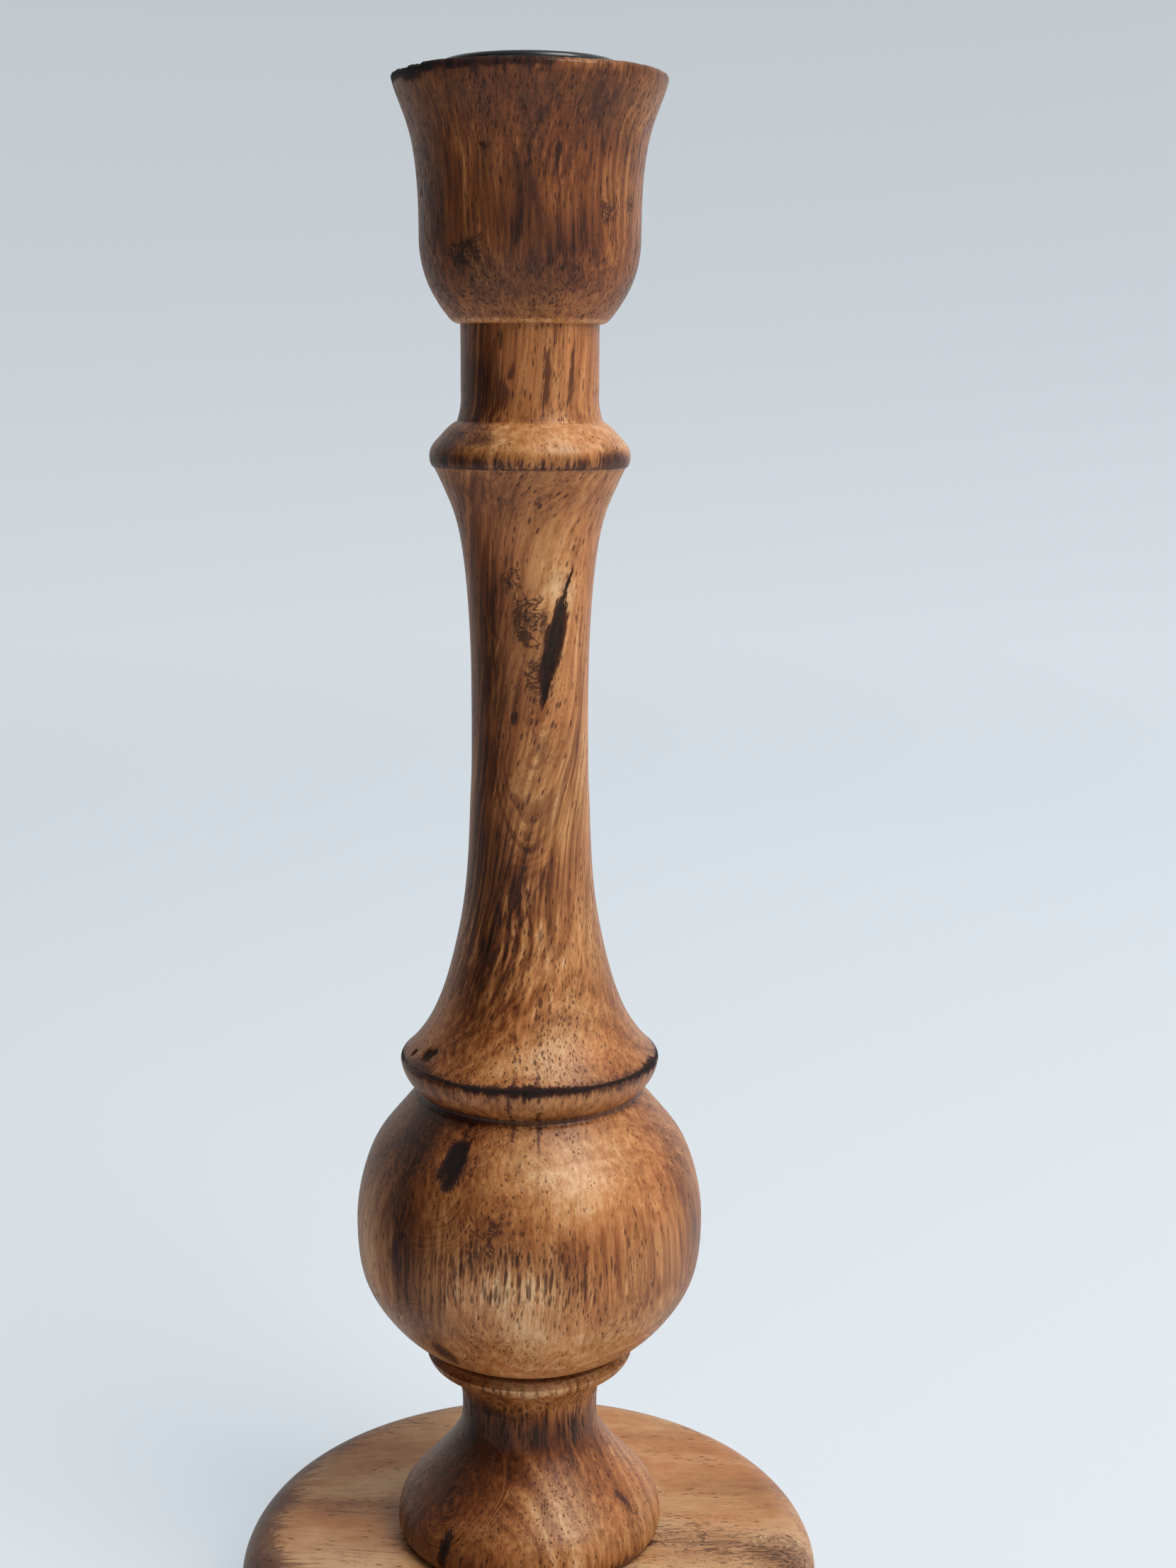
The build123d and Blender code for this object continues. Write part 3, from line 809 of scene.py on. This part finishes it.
STEM_STAINS = (
    (0.3, -52, 208, 3.2, 34), (0.6, -36, 222, 0.9, 14), (0.5, -31, 200, 0.8, 14),
    (0.95, -22.6, 235.2, 1.4, 0.9, 50), (0.4, -18, 240, 1.6, 5, 20), (0.7, 5.9, 251.7, 0.9, 1, 30),
    (0.55, -3.6, 227.3, 2, 3.4), (0.4, 4, 217, 1.8, 4), (0.85, 47.2, 227.3, 0.9, 0.5, 60),
    (1.1, -15.4, 208.1, 0.8, 1.5, 10), (0.85, 13.5, 225, 1.1, 1.6), (0.7, 3, 228, 1.6, 1.6),
    (0.5, -15, 214, 0.6, 1), (0.55, -7, 183.6, 3.2, 0.9), (0.45, 20, 190, 0.9, 6, 38),
    (0.5, 44, 199, 1, 12, 24), (0.75, 6, 172, 0.5, 9, 24), (0.65, -3, 169, 0.4, 8, 20),
    (0.6, -12, 168, 0.5, 8, 18), (0.4, -16, 175, 3.4, 4, 30), (0.6, -24, 165, 0.5, 10, 10),
    (0.6, -33, 162, 0.6, 12, 6), (0.4, -44, 160, 3, 16), (0.6, 14, 160, 0.45, 9, 10),
    (0.5, 24, 168, 0.4, 9, 16), (1, -9.1, 130, 0.42, 14), (0.95, 3.8, 128, 0.42, 16),
    (0.6, -62, 134.5, 5, 3), (0.8, -4.5, 118, 0.6, 1.7), (0.6, -47, 100, 4, 15),
    (0.8, -42.5, 92, 0.7, 14), (0.55, -52, 117, 8, 8, 20), (0.62, -26.5, 117.5, 4.6, 7, 12),
    (1.1, -33.6, 110.5, 0.4, 3.2, 4), (1.1, -28.6, 124.2, 0.4, 2.6, 12), (0.9, -27, 121, 0.4, 2.4, 40),
    (0.9, -35.6, 115, 0.4, 2.2, 35), (0.3, -30, 92, 4, 8), (0.4, -4, 102, 18, 2.6),
    (0.45, 17, 93.5, 3.4, 4), (0.45, 13, 101, 1.2, 5), (0.5, -17, 102, 2.4, 8, 30),
    (0.55, -24, 97, 1.4, 6, 30), (0.6, -7, 110, 1, 1), (0.6, -14, 108, 1.4, 1),
    (0.3, -30, 82.5, 8, 2.5, -20), (0.45, 52, 106, 1, 14), (0.35, 44, 108, 0.7, 10),
)
STEM_GRIT = (
    (0.55, 3, 146, 8, 18),
    (1.15, -5, 97, 26, 7),
    (0.4, -6, 106, 12, 10),
    (0.3, -5, 195, 6, 14),
    (0.35, -40, 165, 8, 20),
    (-0.45, 12, 115, 18, 8),
    (-0.35, 58, 100, 16, 20),
    (-0.3, -34, 106, 7, 9),
)
STEM_VEINS = (
    (1, -14, 165, 10, 18, 14),
    (0.5, 40, 196, 7, 30, 10),
    (0.9, -4, 96, 22, 6),
    (0.1, 40, 90, 16, 12),
    (0.5, -45, 200, 6, 50),
)
BURLS = (
    (1.1, 1, 228, 3.4, 6, 12), (0.8, 4, 216, 2.4, 5), (0.5, -18, 236, 3, 4), (0.4, -10, 182, 5, 4),
    (0.5, -12, 108, 5, 9, 20),
)
SHAFT_BORE = 9.0  # what is nearer the axis of the stem is inside it
FLANGE_INSIDE = 20.0  # what is farther out at the scorch's height is the flange


def stem_shape(points):
    low = smooth(STEM_LOW + 1.0, STEM_LOW + 3.0, points[:, 2])
    high = smooth(STEM_HIGH - 0.4, STEM_HIGH - 3.0, points[:, 2])
    ragged = rough_noise(points * np.array([1.0, 1.0, 0.5]) * 0.9, 36)
    depth = hand_made(points, 35, 0.10) * low * high
    for place in (CRACK, CRACK_TAIL, CRACK_FOOT):
        depth = np.maximum(depth, 0.60 * smooth(0.0, 0.6, lens(points, *place) + 0.25 * ragged))
    depth += 0.65 * smooth(0.0, 0.5, oval(points, *BALL_KNOT) + 0.35 * ragged)
    for knot in FLANGE_KNOTS:
        depth += 0.45 * smooth(0.0, 0.5, oval(points, *knot) + 0.3 * ragged)
    return inward(points, depth * (radius_of(points) > SHAFT_BORE))


def flange_scorch(points):
    """The burnt line round the flange: how black it is, and the brown stain that hangs from it."""
    turn, height, on_flange = turn_of(points), points[:, 2], radius_of(points) > FLANGE_INSIDE
    around = unrolled(turn, 7.0)
    swell = 0.5 + 0.5 * noise(around, 38)
    spiky = 0.5 + 0.5 * ticks_round(points, 48, 0.55, 60.0)
    thick = 0.26 + 0.74 * bell(turn, 0.0, 21.0) + 0.80 * bell(turn, 68.0, 10.0) + 0.25 * swell
    thick *= (smooth(-62.0, -42.0, turn) + smooth(-62.0, -90.0, turn)) * (0.40 + 1.2 * spiky)
    middle = SCORCH_HEIGHT + 0.25 * noise(around * 0.3, 39) - 0.25 * spiky
    black = 1.0 - np.abs(height - middle) / np.maximum(thick, 0.05)
    hang = smooth(middle - 3.8, middle - 0.2, height) * (height < middle + 0.4)
    hang = hang * (0.50 + 0.50 * smooth(15.0, 50.0, turn))
    hang *= 0.35 + 0.65 * smooth(0.0, 0.6, ticks_round(points, 37, across=0.8))
    halo = bell(height, middle, 1.0 + 0.9 * spiky * smooth(-55.0, -10.0, turn))
    return np.where(on_flange, black, -1.0), (hang + 0.80 * halo) * on_flange


def stem_holes(points):
    """The check in the shaft and the knot holes, with torn edges."""
    torn = uneven(points, 46, 1.1, 0.30)
    shredded = uneven(uneven(points, 67, 2.4, 0.9), 68, 0.9, 0.35)
    holes = [lens(torn, *CRACK) * 1.3, lens(torn, *CRACK_TAIL), lens(torn, *CRACK_FOOT)]
    holes += [oval(torn, *place) for place in FLANGE_KNOTS]
    return np.max(holes + [oval(shredded, *BALL_KNOT) * 2.2], axis=0)


def make_stem():
    piece, points = turned("stem", "stem_turned", 0.78, 276, 6.2, stem_shape)
    flow, figure = grain_of(points, (-16.0, 40.0), 31, 4.5, STEM_WINDING, right=26.0)
    figure, eyes = with_eyes(figure, points, STEM_EYES)
    turn, height = turn_of(points), points[:, 2]

    tone = toned(points, STEM_TONES, 34, 0.08, 16.0) + 0.07 * smooth(-45.0, 25.0, turn) - 0.04
    tone -= 0.04 * smooth(133.0, 131.0, height) * smooth(125.0, 127.0, height)

    scorch, scorch_stain = flange_scorch(points)
    over_groove = height - GROOVE_HEIGHT
    stain_and_shade = stained(points, STEM_STAINS, 33) + scorch_stain
    # painted shade in the groove under the flange, and a softer painted shadow on the top of the ball below
    # it
    stain_and_shade += 0.75 * bell(over_groove, 0.0, 1.0)
    stain_and_shade += 0.18 * smooth(-4.5, -0.5, over_groove) * smooth(1.0, 0.0, over_groove)
    stain_and_shade += 0.45 * smooth(STEM_LOW + 0.4, STEM_LOW, height)
    stain_and_shade = np.maximum(stain_and_shade, 0.88 * smooth(-0.05, 0.15, lens(uneven(points, 49, 2.0, 0.25), *LENS_KNOT)))
    marks = {
        "knot": np.maximum(stem_holes(points), scorch),
        "eyes": eyes,
        "grit": summed(points, STEM_GRIT),
        "vein": summed(points, STEM_VEINS),
        "burl": strongest(uneven(points, 46, 1.1, 0.30), BURLS),
    }
    made = wood("stem_wood_oiled", bands=0.34, mottling=0.42, fibres=0.75, lines=0.85)
    stain_and_shade *= radius_of(points) > SHAFT_BORE
    finish(piece, "stem", "stem_wood", made, flow, figure, tone, stain_and_shade, **marks)


NECK_TONES = (
    (-0.26, -56, 276, 7, 14), (-0.2, -62, 262, 7, 4), (0.1, 18, 276, 5, 12, 6), (0.06, 55, 276, 5, 12),
)
NECK_STAINS = (
    (0.62, -38, 273, 4, 14), (0.7, -28, 275, 0.8, 10, 4), (0.45, -60, 276, 5, 16), (0.7, -58, 263, 8, 4),
    (1.05, 14, 276.5, 0.9, 9, 9), (0.95, 36, 277, 0.8, 8, 8), (0.6, 26, 281, 0.7, 6, 5),
    (0.6, -24, 272, 1.6, 4, 10), (0.8, 56, 260.5, 7, 3), (0.9, -14.7, 277.5, 0.7, 1.4),
    (0.8, -20.6, 274, 0.8, 1.8), (0.8, -31, 264.3, 3.4, 1.6), (0.45, 20, 262.6, 5, 0.8),
)
NECK_WINDING = ((NECK_LOW, 0.0), (NECK_LOW + 9.0, 3.0), (NECK_HIGH, 9.0))
NECK_DOWEL_HOLE = 12.0  # what is nearer the neck's axis is inside it


def make_neck():
    def shape(points):
        low = smooth(NECK_LOW + 0.2, NECK_LOW + 2.0, points[:, 2])
        high = smooth(NECK_HIGH - 0.2, NECK_HIGH - 2.5, points[:, 2])
        outside = radius_of(points) > NECK_DOWEL_HOLE
        return inward(points, hand_made(points, 45, 0.08) * low * high * outside)

    piece, points = turned("neck", "neck_turned", 0.5, 256, 5.2, shape)
    flow, figure = grain_of(points, (-30.0, 50.0), 41, 2.5, NECK_WINDING)
    rise = points[:, 2] - NECK_LOW
    shoulder = smooth(9.5, 8.5, rise) * smooth(2.2, 4.6, rise)
    tone = toned(points, NECK_TONES, 44, 0.07, 8.0) + 0.20 * shoulder
    tone += 0.08 * smooth(-40.0, 15.0, turn_of(points)) - 0.04
    lower = smooth(3.6, 0.8, rise) * (radius_of(points) > NECK_DOWEL_HOLE)
    ticks = smooth(-0.1, 0.5, ticks_round(points, 47, 0.6))
    stain_and_shade = stained(points, NECK_STAINS, 43) + lower * (0.32 + 0.75 * ticks) + 0.4 * smooth(0.7, 0.0, rise)
    grit = 0.20 + 0.5 * lower - 0.45 * shoulder
    vein = 0.2 * smooth(8.0, 12.0, rise)
    made = wood("neck_wood_oiled", bands=0.35, mottling=0.45, fibres=0.70, lines=0.75)
    finish(piece, "neck", "neck_wood", made, flow, figure, tone, stain_and_shade, grit=grit, vein=vein)


RIM_NOTCH = (-84.0, -49.0)  # the rim is worn lower between these turns
RIM_KNOT = (-57.0, CUP_HIGH - 1.7, 5.0, 1.9)
CUP_TONES = (
    (0.1, 50, 305, 7, 16), (0.06, -20, 310, 5, 14), (0.05, -40, 326, 8, 6), (-0.12, 14, 303, 8, 8),
    (-0.1, -9, 310, 6, 8), (-0.1, -7, 304, 3, 9), (-0.05, 10, 324, 14, 8), (-0.1, -60, 312, 8, 18),
    (0.2, 64, 329, 9, 6), (0.1, 66, 310, 6, 18), (-0.08, 30, 322, 10, 8), (-0.12, 34, 329, 8, 5),
    (-0.08, 26, 302, 12, 6),
)
CUP_STAINS = (
    (0.8, 3.8, 322.5, 0.38, 10, 24), (0.8, -4.5, 311, 0.38, 9, 4), (0.5, -8, 303, 1.6, 8, 3),
    (0.55, 18.5, 300, 4, 7), (0.6, 26, 303, 0.9, 7), (0.45, -37.1, 299.5, 4.4, 3.2),
    (0.9, -39.5, 298.9, 1, 0.8, 40), (0.85, -33.5, 300.9, 1.8, 0.9, -20), (1.25, 12, 317.3, 0.6, 3.4, 2),
    (1.2, -22, 319.1, 1.1, 0.6, 30), (0.6, -37.4, 322.9, 0.6, 0.4), (0.6, 41, 308.9, 1.2, 1),
    (0.5, 47, 304.5, 1, 2), (0.5, 62, 309.8, 1.4, 1.4), (0.45, -60, 312, 4, 16), (0.45, -24, 328, 6, 2.4),
)
CUP_BURLS = (
    (0.95, -36, 300, 4.6, 3), (0.6, 42, 307.5, 2.6, 3.6), (0.6, 60, 309, 2.6, 2.4),
)


def cup_shape(points):
    radius, turn, height = radius_of(points), turn_of(points), points[:, 2]
    free = smooth(CUP_LOW + 2.0, CUP_LOW + 5.0, height) * (radius > 18.5)
    moved = inward(points, hand_made(points, 55, 0.10) * free)
    around = unrolled(turn, 11.0)
    edge = smooth(CUP_HIGH - 2.5, CUP_HIGH - 0.4, height) * smooth(23.0, 26.0, radius)
    first, last = RIM_NOTCH
    notch = smooth(first - 4.0, first + 12.0, turn) * smooth(last, last - 2.0, turn)
    notch *= 0.40 * (0.75 + 0.5 * noise(around * 3.0, 60))
    nibbled = smooth(8.0, 14.0, turn) * smooth(42.0, 34.0, turn)
    nibbled *= 0.22 * (0.5 + 0.5 * noise(around * 4.0, 59))
    wear = 0.28 * (0.5 + 0.5 * rough_noise(around, 56))
    moved[:, 2] -= (wear + notch + nibbled) * edge
    return moved


def cup_rim(points):
    """The rim: how black it is burnt, the brown stain under that, and where the edge is worn pale."""
    turn, height, radius = turn_of(points), points[:, 2], radius_of(points)
    outside = smooth(20.0, 25.0, radius)
    edge = smooth(CUP_HIGH - 2.8, CUP_HIGH - 1.3, height) * outside
    frayed = height + 0.45 * ticks_round(points, 69, 1.6, 60.0)
    brink = smooth(CUP_HIGH - 1.95, CUP_HIGH - 1.45, frayed) * outside * smooth(14.0, -6.0, turn)
    singed = 0.46 + 0.55 * ticks_round(points, 68, 0.7, 60.0) + 0.15 * ticks_round(points, 69, 3.0, 60.0)
    burnt = brink * singed + 0.9 * edge * smooth(-38.0, -48.0, turn)
    burnt += 0.8 * edge * smooth(120.0, 170.0, np.abs(turn))
    hang = smooth(CUP_HIGH - 5.0, CUP_HIGH - 1.5, height)
    hang *= smooth(-52.0, -42.0, turn) * smooth(12.0, 2.0, turn)
    hang *= 0.25 + 0.75 * smooth(0.1, 0.6, ticks_round(points, 57))
    worn = smooth(9.0, 20.0, turn) * smooth(44.0, 36.0, turn) * edge
    return burnt, 0.95 * hang + 0.9 * burnt + 0.55 * brink + 0.25 * edge, worn


def make_cup():
    piece, points = turned("cup", "cup_turned", 0.5, 360, 12.4, cup_shape)
    flow, figure = grain_of(points, (-26.0, 44.0), 51, 4.0)
    turn, height = turn_of(points), points[:, 2]
    rise = height - CUP_LOW
    lower = smooth(16.0, 9.0, rise) * smooth(3.0, 6.0, rise)
    burnt, rim_stain, worn = cup_rim(points)
    tone = toned(points, CUP_TONES, 54, 0.07, 13.0) - 0.19 - 0.05 * smooth(320.0, 328.0, height)
    # painted highlight: the 0.30 term makes a pale line along the cup's lowest 1.2 mm
    tone += 0.12 * smooth(6.5, 2.5, rise) + 0.30 * smooth(1.2, 0.5, rise) + 0.22 * worn
    stain_and_shade = stained(points, CUP_STAINS, 53) + rim_stain - 0.6 * worn
    stain_and_shade += 0.42 * lower * (0.5 + 0.5 * rough_noise(points / 6.0, 58))
    marks = {
        "knot": np.maximum(oval(points, *RIM_KNOT), burnt - 0.12),
        "grit": 0.25 * smooth(-10.0, -35.0, turn) + 0.15 * blot(points, 12.0, 318.0, 8.0, 6.0) + 0.1 * lower,
        "vein": 0.25 * smooth(9.0, 14.0, rise) * smooth(38.0, 30.0, rise),
        "burl": strongest(uneven(points, 66, 1.1, 0.40), CUP_BURLS),
    }
    made = wood("cup_wood_oiled", bands=0.25, mottling=0.35, fibres=0.70, lines=0.75)
    finish(piece, "cup", "cup_wood", made, flow, figure, tone, stain_and_shade, **marks)


# -------- carried-over CAD nodes and the felt

def dress(node, made):
    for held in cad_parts[node].material_slots:
        held.material = made


def lacquer():
    made, n = material("black_lacquer_gloss")
    fine = n.noise(n.here(), 900.0, detail=3.0)
    wide = n.noise(n.here(), 90.0)
    colour = n.ramp(wide, (0.3, (0.010, 0.011, 0.013)), (0.75, (0.022, 0.024, 0.028)))
    rough = n.ranged(wide, 0.2, 0.8, 0.20, 0.32)
    n.surface(Base_Color=colour, Roughness=rough, Normal=n.bump(fine, 0.12, 0.0001))
    return made


def zinc():
    made, n = material("zinc_plate_bright")
    wide = n.noise(n.here(), 700.0, detail=4.0)
    colour = n.ramp(wide, (0.3, (0.46, 0.47, 0.48)), (0.7, (0.64, 0.65, 0.66)))
    rough = n.ranged(wide, 0.2, 0.8, 0.22, 0.40)
    n.surface(Base_Color=colour, Metallic=1.0, Roughness=rough, Normal=n.bump(wide, 0.2, 0.0001))
    return made


def dowel_wood():
    made, n = material("beech_dowel")
    fibre = n.noise(n.vector("MULTIPLY", n.here(), (1400.0, 1400.0, 60.0)), 1.0, detail=4.0)
    colour = n.ramp(fibre, (0.25, (0.42, 0.24, 0.12)), (0.75, (0.62, 0.42, 0.24)))
    rough = n.ranged(fibre, 0.2, 0.8, 0.5, 0.7)
    n.surface(Base_Color=colour, Roughness=rough, Normal=n.bump(fibre, 0.3, 0.0001))
    return made


def felt():
    made, n = material("brown_felt")
    hair = n.noise(n.here(), 2200.0, detail=5.0, roughness=0.7, distortion=1.5)
    wide = n.noise(n.here(), 120.0, detail=3.0)
    colour = n.ramp(hair, (0.2, (0.016, 0.011, 0.008)), (0.8, (0.075, 0.050, 0.034)))
    colour = n.mix(wide, colour, (0.05, 0.034, 0.024))
    rough = n.ranged(hair, 0.2, 0.8, 0.85, 1.0)
    n.surface(Base_Color=colour, Roughness=rough, Sheen_Weight=0.4, Normal=n.bump(hair, 0.8, 0.0004))
    return made


def make_felt():
    def shape(points):
        moved = points.copy()
        below = points[:, 2] < 0.75
        moved[:, 2] += below * 0.18 * (0.5 + 0.5 * rough_noise(points / 3.0, 61))
        ragged = 0.35 * (0.5 + 0.5 * rough_noise(points / 1.6, 62)) * (radius_of(points) > 53.0)
        return inward(moved, ragged)

    piece, _ = turned("base_felt_pad", "felt_pad", 1.0, 400, 0.5, shape)
    piece.data.materials.append(felt())
    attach(piece, "candlestick")
    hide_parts("base_felt_pad")


# -------- studio

# The sweep's flat radius, its curve's radius and its wall's height, in metres.
FLOOR_END, BEND, WALL = 0.85, 0.55, 1.9
SWEEP_COLUMNS = 160
# Painted light on the paper: its glow against the height, in metres, so that the backdrop shades off as in a
# studio.
PAINTED_PAPER_LIGHT = (
    (0.0, (0.465, 0.520, 0.570)),
    (0.08, (0.495, 0.545, 0.595)),
    (0.34, (0.385, 0.430, 0.475)),
    (0.62, (0.290, 0.335, 0.370)),
)


def sweep_mesh():
    """A round floor that curves up into a wall all the way round."""
    rings = [(r, 0.0) for r in np.linspace(0.03, FLOOR_END, 30)]
    for a in np.linspace(0.06, math.pi / 2, 26):
        rings.append((FLOOR_END + BEND * math.sin(a), BEND * (1 - math.cos(a))))
    rings += [(FLOOR_END + BEND, BEND + h) for h in np.linspace(0.1, WALL, 12)]
    around = [(k, (k + 1) % SWEEP_COLUMNS) for k in range(SWEEP_COLUMNS)]
    verts = [(0.0, 0.0, 0.0)]
    for radius, height in rings:
        for k in range(SWEEP_COLUMNS):
            a = 2 * math.pi * k / SWEEP_COLUMNS
            verts.append((radius * math.sin(a), -radius * math.cos(a), height))
    faces = [(0, 1 + k, 1 + d) for k, d in around]
    for a in range(1, 1 + (len(rings) - 1) * SWEEP_COLUMNS, SWEEP_COLUMNS):
        b = a + SWEEP_COLUMNS
        faces += [(a + k, b + k, b + d, a + d) for k, d in around]
    mesh = bpy.data.meshes.new("studio_sweep")
    mesh.from_pydata(verts, [], faces)
    mesh.update()
    mesh.polygons.foreach_set("use_smooth", [True] * len(mesh.polygons))
    return mesh


def paper():
    made, n = material("studio_paper_painted_light")
    parts = n.new("ShaderNodeSeparateXYZ", Vector=n.here())
    glow = n.ramp(n.ranged(parts.outputs[2], 0.0, 1.0, smooth_step=False), *PAINTED_PAPER_LIGHT)
    # painted light: the glow is brighter towards +X, on the window's side
    side = n.ranged(parts.outputs[0], -0.6, 0.6, 0.89, 1.05, smooth_step=False)
    glow = n.vector("SCALE", glow, scale=side)
    n.surface(Base_Color=(0.30, 0.31, 0.32, 1.0), Roughness=0.9, Emission_Color=glow, Emission_Strength=1.0)
    return made


def make_stage():
    mesh = sweep_mesh()
    sweep = linked(bpy.data.objects.new("studio_sweep", mesh))
    mesh.materials.append(paper())
    sweep.visible_diffuse = False
    sweep.visible_glossy = False
    sweep.visible_shadow = False


def area_light(name, place, target, width, height, watts, colour):
    data = bpy.data.lights.new(name, "AREA")
    data.shape = "RECTANGLE"
    data.size, data.size_y = width, height
    data.energy = watts
    data.color = colour
    lamp = linked(bpy.data.objects.new(name, data))
    lamp.location = place
    lamp.rotation_euler = (Vector(target) - Vector(place)).to_track_quat("-Z", "Y").to_euler()
    lamp.visible_camera = False


# Soft light from all round: (direction, where it starts, where it is full, strength).
SKY = (
    ((-0.25, 1.0, 0.0), 0.20, 0.90, 0.60),
    ((1.0, 0.40, 0.20), 0.35, 0.95, 0.75),
    ((0.0, 0.0, 1.0), 0.3, 1.0, 0.25),
    ((0.15, -0.45, -1.0), 0.0, 0.8, 1.0),
)
SKY_FLOOR = 0.035
SKY_COLOUR = (0.94, 0.955, 0.95, 1.0)


def make_world():
    world = bpy.data.worlds.new("studio_light")
    bpy.context.scene.world = world
    world.use_nodes = True
    n = Nodes(world.node_tree)
    way = n.new("ShaderNodeTexCoord").outputs["Generated"]
    level = SKY_FLOOR
    for direction, low, high, strength in SKY:
        towards = n.vector("DOT_PRODUCT", way, tuple(Vector(direction).normalized()))
        level = n.math("ADD", n.times(n.ranged(towards, low, high), strength), level)
    back = n.new("ShaderNodeBackground", Color=SKY_COLOUR, Strength=level)
    n.new("ShaderNodeOutputWorld", Surface=back.outputs[0])


def make_lights():
    make_world()
    area_light("window", (0.66, -0.62, 1.20), (0.0, 0.0, 0.17), 0.70, 0.80, 17.0, (1.0, 0.965, 0.92))


# -------- all of it

bpy.context.scene.view_settings.view_transform = "Standard"
make_camera()
make_stage()
make_lights()
make_base()
make_foot()
make_stem()
make_neck()
make_cup()
make_felt()
dress("candle_insert", lacquer())
dress("base_washer", zinc())
dress("base_screw", zinc())
dress("foot_dowel", dowel_wood())
dress("neck_dowel", dowel_wood())
